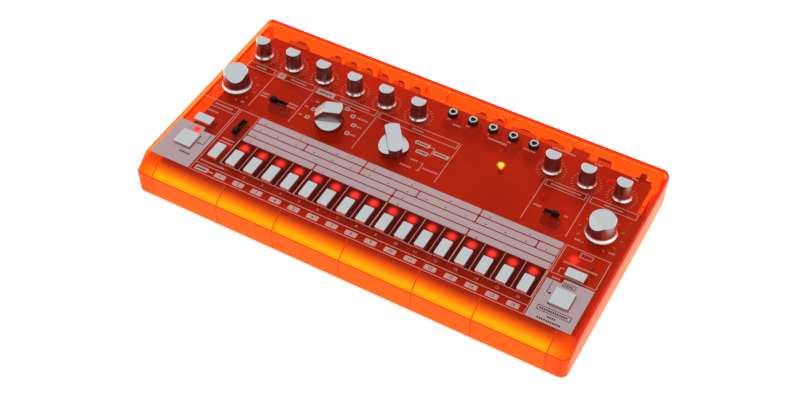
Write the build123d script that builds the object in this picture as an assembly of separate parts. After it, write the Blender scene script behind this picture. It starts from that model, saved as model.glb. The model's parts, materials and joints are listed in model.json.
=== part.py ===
from build123d import *
import math
import os

# Desktop drum machine: a translucent two-shell case with a sloping panel of buttons, knobs and jacks.
#
# Frame: +X to the player's right, +Y to the rear, +Z up. The origin is on the table, under the
# middle of the case. The panel has a frame of its own: x as above, "back" along the panel from its
# front edge, and "height" above its surface, with "drop" below it. The case is a block square to the
# panel, and a wedge under it, set in from the sides, tips it up at the rear. All lengths are
# millimetres and all angles degrees.

# ---- Case ----
case_width = 307.6
case_depth = 162.4         # along the panel, from the front face to the rear wall
case_thickness = 26.3      # square to the panel
crease_drop = 9.4          # the two shells meet this far below the panel
slope_run = 13.1           # the panel's front edge stands this far behind the front face
panel_tilt = 6.0           # the panel rises to the rear by this angle
foot_height = 1.5          # how far the rubber feet hold the case off the table
wedge_inset = 6.0          # the wedge stands this far in from the sides
wedge_setback = 4.0        # and from the front face
wall = 2.5                 # moulded wall of both shells
rim_radius = 5.0           # rounded ends of the case, left and right
front_edge_radius = 1.0
rear_edge_radius = 1.5
lip_thickness = 1.2        # tongue of the lower shell, inside the wall of the upper one
lip_height = 2.0
lip_gap = 0.15
weld = 0.5                 # how deep a rib or boss runs into the wall that carries it
tilt = math.radians(panel_tilt)
panel_depth = case_depth - slope_run

# ---- Rows of controls, from the rear wall forwards ----
small_knob_back = panel_depth - 36.5
large_knob_back = small_knob_back - 34.1
jack_back = small_knob_back + 13.2
rear_boss_back = panel_depth - 16.3
middle_screw_back = small_knob_back - 16.8
front_boss_back = large_knob_back - 16.7

# ---- Ribs and bosses of the shells ----
rib_thickness = 1.2
front_rib_x = [-90.5, -48.5, 0.0, 50.5, 91.0]
end_rib_inset = 13.6       # the outermost front ribs, from the sides
front_rib_hang = 3.0       # the front ribs reach this far below the crease
rear_rib_x = [-59.0, -22.0, -6.0, 38.5, 94.5]
rear_rib_height = 6.5
tray_rib_height = 3.0
tray_rib_x = [-110.0, -73.0, -36.0, 0.0, 36.0, 73.0, 110.0]
tray_rib_y = [-38.0, 22.0]
boss_radius = 3.6
tray_boss_radius = 4.6
tray_boss_height = 4.0     # above the floor of the lower shell
corner_boss_inset = 11.5   # from the side of the case
corner_boss_setback = 8.2  # from its front face
front_boss_x = [-62.0, 62.0]
rear_boss_slots = [3.5, 10.5, 21.5]  # in the row of slots along the rear wall

# ---- Screws ----
screw_radius = 1.45
screw_length = 12.0
screw_head_radius = 2.8
screw_head_height = 1.8
screw_clearance = 0.25     # round a shank where the screw passes freely
thread_clearance = 0.05    # round a shank where the screw bites
head_clearance = 0.3
head_depth = 3.5           # counterbore in the underside of the case
pilot_spare = 0.5          # a pilot hole beyond the tip of its screw
board_screw_radius = 1.05
board_screw_length = 5.0
board_screw_head_radius = 2.2
board_screw_head_height = 1.3
board_boss_radius = 2.8
front_board_screw_x = [-100.0, 0.0, 100.0]
middle_board_screw_x = [-85.0, 20.0, 88.0]

# ---- Rubber feet ----
foot_radius = 7.8
foot_recess = 0.8
foot_gap = 0.2
foot_edge = 0.6
foot_side_inset = 21.8     # from the sides of the case to the middle of a foot
foot_front_inset = 34.0    # from the front face
foot_rear_inset = 12.0     # from the rear edge of the underside

# ---- Circuit board ----
board_drop = 10.0          # surface of the panel to the upper face of the board
board_thickness = 1.6
board_side_gap = 8.8       # from the sides of the case to the board
board_front = 2.5
board_rear = panel_depth - 8.0
board_corner = 2.0
board_hole_gap = 0.6       # round a boss that passes the board

# ---- Knobs and their shafts ----
shaft_radius = 3.0
shaft_fit = 0.05           # running clearance of a shaft in its bush
shaft_hole_radius = 3.8    # in the panel
shaft_depth = 8.3          # shaft tip below the surface of the panel
knob_lift = 0.6            # gap between a knob and the panel
knob_columns = 12          # even columns over the width, of which three hold jacks instead
knob_side_inset = 20.0     # from the side of the case to the first column
small_base_radius = 6.5
small_neck_radius = 5.5
small_top_radius = 4.9
small_height = 15.2
small_facet_reach = 2.2    # from the axis to the upper edge of the pointer facet
small_skirt = 4.2
large_base_radius = 10.2
large_neck_radius = 9.0
large_top_radius = 8.3
large_height = 13.9
large_facet_reach = 4.6
large_skirt = 4.0
knob_rim = 1.0             # upright edge at the foot of a knob
knob_edge = 0.5            # chamfer round its top
facet_slope = 45.0         # of the flats that show which way the knobs point
shaft_engagement = 9.0     # of a shaft in its knob
dot_radius = 0.55
dot_depth = 0.3
dot_share = 0.68           # of the facet's run, from its upper edge to the dot

# ---- Bar-shaped selector knobs ----
selector_radius = 10.1
selector_top_radius = 9.2
selector_height = 14.6
selector_disc_height = 2.6
selector_shoulder = 5.2    # height at which the disc meets the bar
bar_width = 8.8
bar_draft = 3.0
selector_facet_reach = 2.8

# ---- Potentiometers and rotary switches ----
pot_width = 9.8
pot_depth = 11.4
pot_height = 5.0
bush_radius = 3.9
bush_height = 1.6
rotary_radius = 9.5
shaft_end_gap = 0.3        # under the tip of a shaft

# ---- Buttons ----
step_count = 16
first_step_inset = 57.3    # from the left side of the case to the first step button
last_step_inset = 43.5     # from the right side to the last one
step_back = 20.0
step_width = 7.0
step_depth = 13.0
square_button = 12.6
bar_button_depth = 6.8
corner_button_inset = 19.8
upper_button_back = 40.1
button_rise = 2.3
button_corner = 0.8
button_edge = 0.45
button_wall = 1.3
button_gap = 0.3           # round a button in its opening
flange_width = 1.1         # how far the flange reaches beyond the button
flange_thickness = 1.0
flange_gap = 0.2           # between the flange and the panel above it
button_travel = 0.5

# ---- Push switches under the buttons ----
tact_width = 6.0
tact_height = 3.6
plunger_radius = 1.7
plunger_depth = 1.0        # inside the switch at rest
plunger_floor = 0.7        # left under the plunger at the end of its travel
tact_fit = 0.08

# ---- Slide switches ----
lever_length = 4.0
lever_width = 2.6
lever_rise = 3.2
lever_edge = 0.4
slot_corner = 0.6
lever_base_length = 5.2
lever_base_width = 3.6
lever_base_height = 1.8
lever_gap = 0.3            # round a lever in its slot
slide_wall = 0.8
slide_height = 5.0
slide_gap = 0.15
slide_end_gap = 0.3
select_inset = 53.0        # from the left side of the case
select_travel = 7.4
distortion_inset = 53.2    # from the right side
distortion_travel = 4.4
mode_back = 46.1
mode_travel = 8.4
power_inset = 15.8         # from the side of the case
power_travel = 3.2
power_lever_rise = 1.8

# ---- Lights ----
light_radius = 1.5
light_flange_radius = 1.9
light_flange_height = 1.8
light_height = 7.0         # from the board to the tip of the dome
step_light_back = 33.8
group_light_spread = 6.4   # to each side of the group button's middle
group_light_back = 53.2
power_light_x = 54.3
power_light_back = small_knob_back - 10.3

# ---- Jacks on the panel ----
jack_count = 5
jack_pitch = 14.84
first_jack_x = 7.1
mini_bore_radius = 1.8
mini_bore_depth = 14.0
mini_bore_floor = 0.7      # under the bore of an upright socket
jack_body_width = 9.0
jack_body_depth = 10.4
jack_body_gap = 0.2        # between the body and the panel above it
bushing_radius = 2.9
bushing_rise = 3.0
bushing_hole_gap = 0.2
nut_radius = 3.7
nut_height = 2.5
nut_gap = 0.05
nut_edge = 0.4
notch_width = 0.9
notch_depth = 0.5

# ---- Connectors in the rear wall, hung under the board ----
rear_slot_count = 24       # even slots over the width, counted from the left
rear_jack_slots = [14.5, 13.5, 9.5, 8.5, 7.5, 6.5, 5.5, 4.5]
din_slots = [17.6, 16.0]
usb_slot = 19.2
inlet_slot = 20.5
rear_jack_width = 8.0
rear_jack_height = 6.4
rear_jack_length = 12.0
nose_radius = 2.9
nose_recess = 0.4          # noses stop this far short of the outside of the wall
nose_gap = 0.2             # round a nose in the wall
output_inset = 26.8        # from the side of the case
output_width = 15.0
output_height = 15.0
output_length = 22.0
output_bore_radius = 3.25
output_bore_depth = 26.0
output_bushing_radius = 4.7
output_bushing_rise = 2.1
output_nut_width = 11.0
output_nut_height = 1.6
din_width = 18.0
din_height = 17.0
din_length = 13.0
din_nose_radius = 7.6
din_groove_outer = 6.8
din_groove_inner = 5.7
din_groove_depth = 6.0
din_pin_circle = 3.6
din_pin_radius = 0.7
din_pin_angles = [0.0, 45.0, 90.0, 135.0, 180.0]
usb_width = 12.0
usb_height = 10.8
usb_length = 15.0
usb_cavity_width = 8.5
usb_cavity_height = 7.8
usb_cavity_depth = 9.0
usb_tongue_width = 5.6
usb_tongue_height = 3.2
usb_corner = 1.4
inlet_width = 9.0
inlet_height = 10.8
inlet_length = 14.0
inlet_radius = 3.2
inlet_depth = 9.5
inlet_pin_radius = 1.0
pin_recess = 1.0           # tongues and pins stop this far inside their openings
body_gap = 0.3             # between a connector's body and the rear wall

# ---- Parts on the underside of the board: x, back, width, depth, height ----
chips = [
    (12.0, front_boss_back, 14.0, 14.0, 1.4),
    (-30.0, step_back + 20.0, 10.0, 6.0, 1.6),
    (-75.0, step_back + 20.0, 10.0, 6.0, 1.6),
    (85.0, step_back + 20.0, 10.0, 6.0, 1.6),
    (-75.0, large_knob_back + 7.0, 10.0, 6.0, 1.6),
    (-30.0, large_knob_back + 7.0, 10.0, 6.0, 1.6),
    (60.0, large_knob_back + 7.0, 10.0, 6.0, 1.6),
]
capacitor_radius = 3.1
capacitor_height = 5.6
capacitor_x = [-112.0, -104.0, 40.0, 104.0, 112.0]
capacitor_back = small_knob_back - 7.0

# ---- Worked out from the dimensions above ----
front_lean = (case_thickness - crease_drop) * math.sin(tilt)  # the crease overhangs the underside
rear_y = (case_depth / math.cos(tilt) + front_lean) / 2
front_y = front_lean - rear_y
floor_z = foot_height + wall
panel_front_y = front_y + slope_run * math.cos(tilt) - case_thickness * math.sin(tilt)
panel_front_z = foot_height + slope_run * math.sin(tilt) + case_thickness * math.cos(tilt)
side_x = case_width / 2
first_column_x = knob_side_inset - side_x
knob_pitch = (case_width - 2 * knob_side_inset) / (knob_columns - 1)
first_step_x = first_step_inset - side_x
step_pitch = (case_width - first_step_inset - last_step_inset) / (step_count - 1)
corner_button_x = side_x - corner_button_inset
board_half_width = side_x - board_side_gap
select_x = select_inset - side_x
distortion_x = side_x - distortion_inset
mode_x = first_step_x - step_pitch
power_x = side_x - power_inset
output_x = output_inset - side_x
rear_pitch = case_width / rear_slot_count
rear_wall_back = panel_depth - wall
board_top = -board_drop
board_bottom = -board_drop - board_thickness
boss_foot_z = floor_z + tray_boss_height
panel = Plane(
    origin=(0, panel_front_y, panel_front_z),
    x_dir=(1, 0, 0),
    z_dir=(0, -math.sin(tilt), math.cos(tilt)),
).location
ON_TOP = (Align.CENTER, Align.CENTER, Align.MIN)
HANGING = (Align.CENTER, Align.CENTER, Align.MAX)


def at(x, back, height=0.0):
    """A place in the panel's frame."""
    return panel * Pos(x, back, height)


def facing_rear(x, drop, back=panel_depth):
    """A place on the rear wall, its Z out of the wall and its Y down along it."""
    return at(x, back, -drop) * Rot(X=-90)


def panel_z(back):
    """Height of the panel's surface above the table."""
    return panel_front_z + back * math.sin(tilt)


def panel_y(back):
    return panel_front_y + back * math.cos(tilt)


def write(name, pieces):
    """Writes one node: a solid, or a group of separate solids."""
    solids = [solid for piece in pieces for solid in piece.solids()]
    shape = solids[0] if len(solids) == 1 else Compound(solids)
    export_step(shape, f"parts/{name}.step")


# ---- Case ----
def case_block(inset, softened=False):
    """The closed form of the case with every face moved in by inset."""
    block = moved_in(
        [
            (-slope_run, -case_thickness),
            (-slope_run, -crease_drop),
            (0, 0),
            (panel_depth, 0),
            (panel_depth, -case_thickness),
        ],
        side_x,
        inset,
    )
    ends = block.faces().sort_by(Axis.X)
    rims = ends[0].edges() + ends[-1].edges()
    rims = rims.filter_by(lambda edge: edge.center().Z > inset + 0.01 - case_thickness)
    block = fillet(rims, rim_radius - inset)
    if softened:
        block = fillet(long_edge(block, 0), front_edge_radius)
        block = fillet(long_edge(block, panel_depth), rear_edge_radius)
    wedge_front = wedge_setback - slope_run
    middle = -case_thickness / 2
    wedge = moved_in(
        [(wedge_front, middle), (wedge_front, -under(wedge_front)), (panel_depth, -under(panel_depth)),
         (panel_depth, middle)],
        side_x - wedge_inset,
        inset,
    )
    return panel * (block + wedge)


def moved_in(profile, half_width, inset):
    """A block from its side profile of (back, height) points, every face moved in by inset."""
    face = make_face(Polyline([(0, back, height) for back, height in profile], close=True))
    if inset:
        face = offset(face, -inset, kind=Kind.INTERSECTION)
    return extrude(face, amount=half_width - inset, both=True)


def long_edge(block, back):
    """The edge of the block that runs along the panel's surface at a given distance back."""
    edges = block.edges().filter_by(Axis.X)
    return edges.filter_by(lambda edge: (edge.center() - Vector(0, back, 0)).length < 0.05)


def under(back):
    """Depth of the wedge's underside below the panel, which is level with the front of the case."""
    return case_thickness + (back + slope_run) * math.tan(tilt)


def slab(low_z, high_z):
    """Everything between two heights above the table."""
    return Pos(0, 0, low_z) * Box(2 * case_width, 2 * case_depth, high_z - low_z, align=ON_TOP)


def layer(lower_drop, upper_drop=0.0):
    """Everything between two depths below the panel."""
    size = 2 * case_width
    return at(0, 0, -lower_drop) * Box(size, size, lower_drop - upper_drop, align=ON_TOP)


def ahead_of(back):
    """Everything in front of a plane square to the panel."""
    reach = 2 * case_depth
    return at(0, back) * Box(2 * case_width, reach, reach, align=(Align.CENTER, Align.MAX, Align.CENTER))


def tray_zone():
    """The space of the lower shell: below the crease, and only the floor at the rear wall."""
    return (layer(case_depth, crease_drop) & ahead_of(rear_wall_back)) + slab(0, floor_z)


def boss_places():
    """X and Y of each upright boss that takes a case screw."""
    corner_x = side_x - corner_boss_inset
    places = [(x, front_y + corner_boss_setback) for x in (-corner_x, corner_x)]
    places += [(x, panel_y(front_boss_back)) for x in front_boss_x]
    return places + [(rear_x(slot), panel_y(rear_boss_back)) for slot in rear_boss_slots]


def board_screw_places():
    """X and back of each screw that holds the board to the top case."""
    places = [(x, front_boss_back) for x in front_board_screw_x]
    return places + [(x, middle_screw_back) for x in middle_board_screw_x]


def rear_x(slot):
    """X of a slot in the row along the rear wall."""
    return slot * rear_pitch - side_x


def upright(x, y, low_z, radius, height):
    return Pos(x, y, low_z) * Cylinder(radius, height, align=ON_TOP)


def opening(x, back, width, depth, corner=button_corner):
    """A cutter for a rounded opening through the panel."""
    outline = RectangleRounded(width, depth, corner)
    return at(x, back) * extrude(outline, amount=2 * wall, both=True)


def round_opening(x, back, radius):
    return at(x, back) * Cylinder(radius, 4 * wall)


def rear_opening(x, drop, shape):
    """A cutter through the rear wall from a flat shape."""
    return facing_rear(x, drop) * extrude(shape, amount=2 * wall, both=True)


def rear_cutters():
    mini_hole = Circle(nose_radius + nose_gap)
    din_hole = Circle(din_nose_radius + nose_gap)
    cutters = [rear_opening(rear_x(slot), rear_jack_drop(), mini_hole) for slot in rear_jack_slots]
    cutters += [rear_opening(rear_x(slot), din_drop(), din_hole) for slot in din_slots]
    cutters.append(rear_opening(output_x, output_drop(), Circle(output_bushing_radius + nose_gap)))
    usb_hole = Rectangle(usb_width + 2 * nose_gap, usb_height + 2 * nose_gap)
    cutters.append(rear_opening(rear_x(usb_slot), usb_drop(), usb_hole))
    inlet_hole = Rectangle(inlet_width + 2 * nose_gap, inlet_height + 2 * nose_gap)
    cutters.append(rear_opening(rear_x(inlet_slot), inlet_drop(), inlet_hole))
    slot_length = lever_length + power_travel + 2 * lever_gap
    slot = RectangleRounded(slot_length, lever_width + 2 * lever_gap, slot_corner)
    cutters.append(rear_opening(power_x, power_drop(), slot))
    return cutters


def panel_cutters():
    cutters = [round_opening(x, back, shaft_hole_radius) for x, back in shaft_places()]
    cutters += [round_opening(x, jack_back, bushing_radius + bushing_hole_gap) for x in jack_places()]
    for x, back, width, depth in button_places().values():
        cutters.append(opening(x, back, width + 2 * button_gap, depth + 2 * button_gap))
    for x, back, travel, turn in panel_slides().values():
        length = lever_length + travel + 2 * lever_gap
        width = lever_width + 2 * lever_gap
        outline = Rot(Z=turn) * RectangleRounded(length, width, slot_corner)
        cutters.append(at(x, back) * extrude(outline, amount=2 * wall, both=True))
    return cutters


def top_case():
    """Panel, front slope, upper side walls and the whole rear wall, with its ribs and bosses."""
    shell = case_block(0, softened=True) - case_block(wall) - tray_zone()
    lip_top = crease_drop - lip_height - lip_gap
    rebate = case_block(wall - lip_thickness - lip_gap) & layer(crease_drop, lip_top)
    shell -= rebate & ahead_of(rear_wall_back)

    ribs = []
    end_rib_x = side_x - end_rib_inset
    for x in [-end_rib_x, *front_rib_x, end_rib_x]:
        plate = Pos(x, 0, 0) * Box(rib_thickness, 2 * case_depth, 4 * case_depth)
        ribs.append(plate & ahead_of(board_front - board_hole_gap))
    ribs = Part() + ribs
    shell += ribs & case_block(wall - weld) & layer(lip_top)
    shell += ribs & case_block(wall + lip_gap) & layer(crease_drop + front_rib_hang)

    rear_ribs = []
    rib_length = rear_wall_back + weld - (board_rear + board_hole_gap)
    rib = Box(rib_thickness, rib_length, rear_rib_height + weld, align=(Align.CENTER, Align.MIN, Align.MAX))
    for x in rear_rib_x:
        rear_ribs.append(at(x, board_rear + board_hole_gap, -wall + weld) * rib)
    shell += rear_ribs

    inside = case_block(wall - weld)
    tall = panel_z(panel_depth) - boss_foot_z
    bosses = [upright(x, y, boss_foot_z, boss_radius, tall) for x, y in boss_places()]
    shell += (Part() + bosses) & inside
    boss = Cylinder(board_boss_radius, board_drop - wall + weld, align=ON_TOP)
    shell += [at(x, back, board_top) * boss for x, back in board_screw_places()]

    pilots = []
    for x, y in boss_places():
        pilots.append(upright(x, y, boss_foot_z - weld, screw_radius + thread_clearance, screw_length))
    depth = board_screw_length - board_thickness + pilot_spare
    pilot = Cylinder(board_screw_radius + thread_clearance, depth, align=ON_TOP)
    pilots += [at(x, back, board_top) * pilot for x, back in board_screw_places()]
    return shell - (pilots + panel_cutters() + rear_cutters())


def bottom_case():
    """Tray with its floor, front and side walls, lip, ribs and screw bosses."""
    inner = case_block(wall)
    shell = (case_block(0) - inner) & tray_zone()
    lip = case_block(wall - lip_thickness) - inner
    lip &= layer(crease_drop + weld, crease_drop - lip_height) & ahead_of(rear_wall_back)
    clearance = boss_radius + body_gap
    shell += lip - [upright(x, y, boss_foot_z, clearance, case_thickness) for x, y in boss_places()]

    base_z = floor_z - weld
    rise = tray_rib_height + weld
    grid = [Pos(x, 0, base_z) * Box(rib_thickness, case_depth, rise, align=ON_TOP) for x in tray_rib_x]
    grid += [Pos(0, y, base_z) * Box(case_width, rib_thickness, rise, align=ON_TOP) for y in tray_rib_y]
    shell += (Part() + grid) & case_block(wall - weld) & ahead_of(rear_wall_back)

    rise = tray_boss_height + weld
    shell += [upright(x, y, base_z, tray_boss_radius, rise) for x, y in boss_places()]
    cutters = []
    for x, y in boss_places():
        cutters.append(upright(x, y, 0, screw_head_radius + head_clearance, foot_height + head_depth))
        cutters.append(upright(x, y, 0, screw_radius + screw_clearance, boss_foot_z + weld))
    for x, y in foot_places():
        cutters.append(upright(x, y, 0, foot_radius + foot_gap, foot_height + foot_recess))
    return shell - cutters


def case_screws():
    seat_z = foot_height + head_depth
    screws = []
    for x, y in boss_places():
        head = upright(x, y, seat_z - screw_head_height, screw_head_radius, screw_head_height)
        screws.append(head + upright(x, y, seat_z, screw_radius, screw_length))
    return screws


def foot_places():
    foot_x = side_x - foot_side_inset
    foot_y = (front_y + foot_front_inset, rear_y - foot_rear_inset)
    return [(x, y) for x in (-foot_x, foot_x) for y in foot_y]


def rubber_feet():
    feet = []
    for x, y in foot_places():
        foot = Cylinder(foot_radius, foot_height + foot_recess, align=ON_TOP)
        foot = chamfer(foot.edges().group_by(Axis.Z)[0], foot_edge)
        feet.append(Pos(x, y, 0) * foot)
    return feet


# ---- Circuit board and what it carries ----
def circuit_board():
    length = board_rear - board_front
    middle = (board_rear + board_front) / 2
    board = extrude(RectangleRounded(2 * board_half_width, length, board_corner), amount=board_thickness)
    board = at(0, middle, board_bottom) * board
    holes = [upright(x, y, 0, boss_radius + board_hole_gap, 2 * case_depth) for x, y in boss_places()]
    hole = Cylinder(board_screw_radius + screw_clearance, 4 * board_thickness)
    holes += [at(x, back, board_top) * hole for x, back in board_screw_places()]
    return board - holes


def board_screws():
    screw = Cylinder(board_screw_head_radius, board_screw_head_height, align=HANGING)
    screw += Cylinder(board_screw_radius, board_screw_length, align=ON_TOP)
    return [at(x, back, board_bottom) * screw for x, back in board_screw_places()]


def board_chips():
    return [at(x, back, board_bottom) * Box(width, depth, height, align=HANGING)
            for x, back, width, depth, height in chips]


def board_capacitors():
    can = Cylinder(capacitor_radius, capacitor_height, align=HANGING)
    return [at(x, capacitor_back, board_bottom) * can for x in capacitor_x]


# ---- Knobs ----
def column_x(i):
    """X of a column of knobs, counted from the left."""
    return first_column_x + i * knob_pitch


def small_knobs():
    """Name, x and pointer angle of each small knob."""
    left = ["accent", "bass_drum", "snare_drum", "tom", "cymbal", "hi_hat"]
    right = ["distortion_drive", "distortion_tone", "distortion_level"]
    knobs = [(f"{name}_knob", column_x(i), 90.0) for i, name in enumerate(left)]
    start = knob_columns - len(right)
    knobs += [(f"{name}_knob", column_x(start + i), 90.0) for i, name in enumerate(right)]
    return knobs


def large_knobs():
    """Name, x and pointer angle of each large knob."""
    return [("tempo_knob", column_x(0), -60.0), ("volume_knob", column_x(knob_columns - 1), -120.0)]


def selector_knobs():
    """Name, x and pointer angle of each selector knob."""
    return [
        ("instrument_selector_knob", column_x(3), 200.0),
        ("mode_selector_knob", column_x(5), -53.0),
    ]


def shaft_places():
    places = [(x, small_knob_back) for _, x, _ in small_knobs()]
    places += [(x, large_knob_back) for _, x, _ in large_knobs()]
    places += [(x, large_knob_back) for _, x, _ in selector_knobs()]
    return places


def shaft():
    """Turning shaft, from its tip in the bush to its end in the knob."""
    length = shaft_depth + knob_lift + shaft_engagement
    return Pos(0, 0, -shaft_depth) * Cylinder(shaft_radius, length, align=ON_TOP)


def turned_knob(base_radius, neck_radius, top_radius, height, skirt):
    """A knob with a flared foot, its blind bore over the shaft."""
    bore_top = knob_lift + shaft_engagement
    rim_top = knob_lift + knob_rim
    middle = ((base_radius + 2 * neck_radius) / 3, knob_lift + (knob_rim + skirt) * 0.42)
    outline = [
        Polyline((shaft_radius, knob_lift), (base_radius, knob_lift), (base_radius, rim_top)),
        ThreePointArc((base_radius, rim_top), middle, (neck_radius, skirt)),
        Polyline(
            (neck_radius, skirt),
            (top_radius, height - knob_edge),
            (top_radius - knob_edge, height),
            (0, height),
            (0, bore_top),
            (shaft_radius, bore_top),
            (shaft_radius, knob_lift),
        ),
    ]
    return revolve(Plane.XZ * make_face(outline), Axis.Z)


def pointer_cutters(top_radius, height, reach):
    """Cutters for the sloping flat that shows which way a knob points, and for the dot on it."""
    size = 4 * top_radius
    facet = Pos(reach, 0, height) * Rot(Y=facet_slope)
    run = (top_radius - reach) / math.cos(math.radians(facet_slope))
    dot = facet * Pos(dot_share * run, 0, 0) * Cylinder(dot_radius, 2 * dot_depth)
    return [facet * Box(size, size, size, align=ON_TOP), dot]


def small_knob(angle):
    knob = turned_knob(small_base_radius, small_neck_radius, small_top_radius, small_height, small_skirt)
    return Rot(Z=angle) * (knob - pointer_cutters(small_top_radius, small_height, small_facet_reach))


def large_knob(angle):
    knob = turned_knob(large_base_radius, large_neck_radius, large_top_radius, large_height, large_skirt)
    return Rot(Z=angle) * (knob - pointer_cutters(large_top_radius, large_height, large_facet_reach))


def selector_knob(angle):
    """A round foot with a raised bar, whose sloping nose is the pointer."""
    body_height = selector_height - knob_lift
    cone = Cone(selector_radius, selector_top_radius, body_height, align=ON_TOP)
    body = Pos(0, 0, knob_lift) * cone
    size = 3 * selector_radius
    edge = Pos(0, bar_width / 2, selector_shoulder)
    fall = math.atan2(selector_shoulder - selector_disc_height, selector_radius - bar_width / 2)
    flank = edge * Rot(X=-bar_draft) * Box(size, size, size, align=(Align.CENTER, Align.MIN, Align.CENTER))
    dish = edge * Rot(X=-math.degrees(fall)) * Box(size, size, size, align=ON_TOP)
    shoulder = flank & dish
    bore = Cylinder(shaft_radius, shaft_engagement, align=ON_TOP)
    body -= [shoulder, mirror(shoulder, about=Plane.XZ), Pos(0, 0, knob_lift) * bore]
    body -= pointer_cutters(selector_top_radius, selector_height, selector_facet_reach)
    return Rot(Z=angle) * body


def with_bush(body):
    """Adds the bush that a shaft turns in to a body that stands on the board."""
    bush = Cylinder(bush_radius, pot_height + bush_height, align=ON_TOP)
    bore = Cylinder(shaft_radius + shaft_fit, board_drop, align=ON_TOP)
    return Pos(0, 0, board_top) * (body + bush) - Pos(0, 0, -shaft_depth - shaft_end_gap) * bore


def pot_bodies():
    pot = with_bush(Box(pot_width, pot_depth, pot_height, align=ON_TOP))
    places = [(x, small_knob_back) for _, x, _ in small_knobs()]
    places += [(x, large_knob_back) for _, x, _ in large_knobs()]
    return [at(x, back) * pot for x, back in places]


def rotary_switch_bodies():
    can = with_bush(Cylinder(rotary_radius, pot_height, align=ON_TOP))
    return [at(x, large_knob_back) * can for _, x, _ in selector_knobs()]


# ---- Buttons ----
def button_places():
    """Node name: x, back, width and depth of each button."""
    places = {}
    for i in range(step_count):
        x = first_step_x + i * step_pitch
        places[f"step_button_{i + 1:02d}"] = (x, step_back, step_width, step_depth)
    places["function_button"] = (first_step_x - step_pitch, step_back, step_width, step_depth)
    places["start_button"] = (-corner_button_x, step_back, square_button, square_button)
    places["write_button"] = (corner_button_x, step_back, square_button, square_button)
    places["tap_button"] = (-corner_button_x, upper_button_back, square_button, bar_button_depth)
    places["group_button"] = (corner_button_x, upper_button_back, square_button, bar_button_depth)
    return places


def button(width, depth):
    """A hollow cap with a flange that holds it under the panel and a plunger for its switch."""
    flange_top = -wall - flange_gap
    flange_bottom = flange_top - flange_thickness
    cap = extrude(RectangleRounded(width, depth, button_corner), amount=button_rise - flange_bottom)
    cap = Pos(0, 0, flange_bottom) * cap
    cap = fillet(cap.edges().group_by(Axis.Z)[-1], button_edge)
    flange = RectangleRounded(width + 2 * flange_width, depth + 2 * flange_width, button_corner)
    cap += Pos(0, 0, flange_bottom) * extrude(flange, amount=flange_thickness)
    hollow = RectangleRounded(width - 2 * button_wall, depth - 2 * button_wall, button_corner / 2)
    cap -= Pos(0, 0, flange_bottom) * extrude(hollow, amount=button_rise - button_wall - flange_bottom)
    tip = board_top + tact_height - plunger_depth
    return cap + Pos(0, 0, tip) * Cylinder(plunger_radius, button_rise - button_wall - tip, align=ON_TOP)


def tact_switches():
    bore_depth = plunger_depth + button_travel + plunger_floor
    bore = Cylinder(plunger_radius + tact_fit, bore_depth, align=HANGING)
    switch = Box(tact_width, tact_width, tact_height, align=ON_TOP) - Pos(0, 0, tact_height) * bore
    return [at(x, back, board_top) * switch for x, back, _, _ in button_places().values()]


# ---- Slide switches ----
def panel_slides():
    """Node name: x, back, travel and direction of each slide switch on the panel."""
    return {
        "select_switch_lever": (select_x, large_knob_back, select_travel, 0.0),
        "distortion_switch_lever": (distortion_x, large_knob_back, distortion_travel, 180.0),
        "mode_switch_lever": (mode_x, mode_back, mode_travel, 90.0),
    }


def slide_lever(travel, rise, depth=board_drop):
    """A lever at the start of its travel along X. Its base runs inside the switch."""
    base_bottom = -depth + slide_wall + slide_gap
    base = Pos(0, 0, base_bottom) * Box(lever_base_length, lever_base_width, lever_base_height, align=ON_TOP)
    height = rise - base_bottom
    stem = Pos(0, 0, base_bottom) * Box(lever_length, lever_width, height, align=ON_TOP)
    stem = fillet(stem.edges().group_by(Axis.Z)[-1], lever_edge)
    return Pos(-travel / 2, 0, 0) * (base + stem)


def slide_body(travel, depth=board_drop):
    """The open-topped can that a lever's base runs in."""
    inner_length = lever_base_length + travel + 2 * slide_end_gap
    inner_width = lever_base_width + 2 * slide_gap
    outer = Box(inner_length + 2 * slide_wall, inner_width + 2 * slide_wall, slide_height, align=ON_TOP)
    cavity_height = lever_base_height + 2 * slide_gap
    cavity = Pos(0, 0, slide_wall) * Box(inner_length, inner_width, cavity_height, align=ON_TOP)
    slot_length = lever_length + travel + 2 * slide_end_gap
    slot = Pos(0, 0, slide_wall) * Box(slot_length, lever_width + 2 * slide_gap, slide_height, align=ON_TOP)
    return Pos(0, 0, -depth) * (outer - cavity - slot)


def slide_switch_bodies():
    bodies = []
    for x, back, travel, turn in panel_slides().values():
        bodies.append(at(x, back) * Rot(Z=turn) * slide_body(travel))
    bodies.append(facing_rear(power_x, power_drop()) * slide_body(power_travel))
    return bodies


# ---- Lights ----
def light(x, back):
    """A lamp with a foot and a domed tip, standing on the board."""
    shoulder = light_height - light_radius
    outline = [
        Polyline(
            (0, light_height),
            (0, 0),
            (light_flange_radius, 0),
            (light_flange_radius, light_flange_height),
            (light_radius, light_flange_height),
            (light_radius, shoulder),
        ),
        RadiusArc((light_radius, shoulder), (0, light_height), -light_radius),
    ]
    return at(x, back, board_top) * revolve(Plane.XZ * make_face(outline), Axis.Z)


def red_lights():
    lights = [light(first_step_x + i * step_pitch, step_light_back) for i in range(step_count)]
    lights.append(light(-corner_button_x, step_light_back))
    lights += [light(corner_button_x + side * group_light_spread, group_light_back) for side in (-1, 1)]
    return lights


# ---- Jacks on the panel ----
def jack_places():
    return [first_jack_x + i * jack_pitch for i in range(jack_count)]


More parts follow.
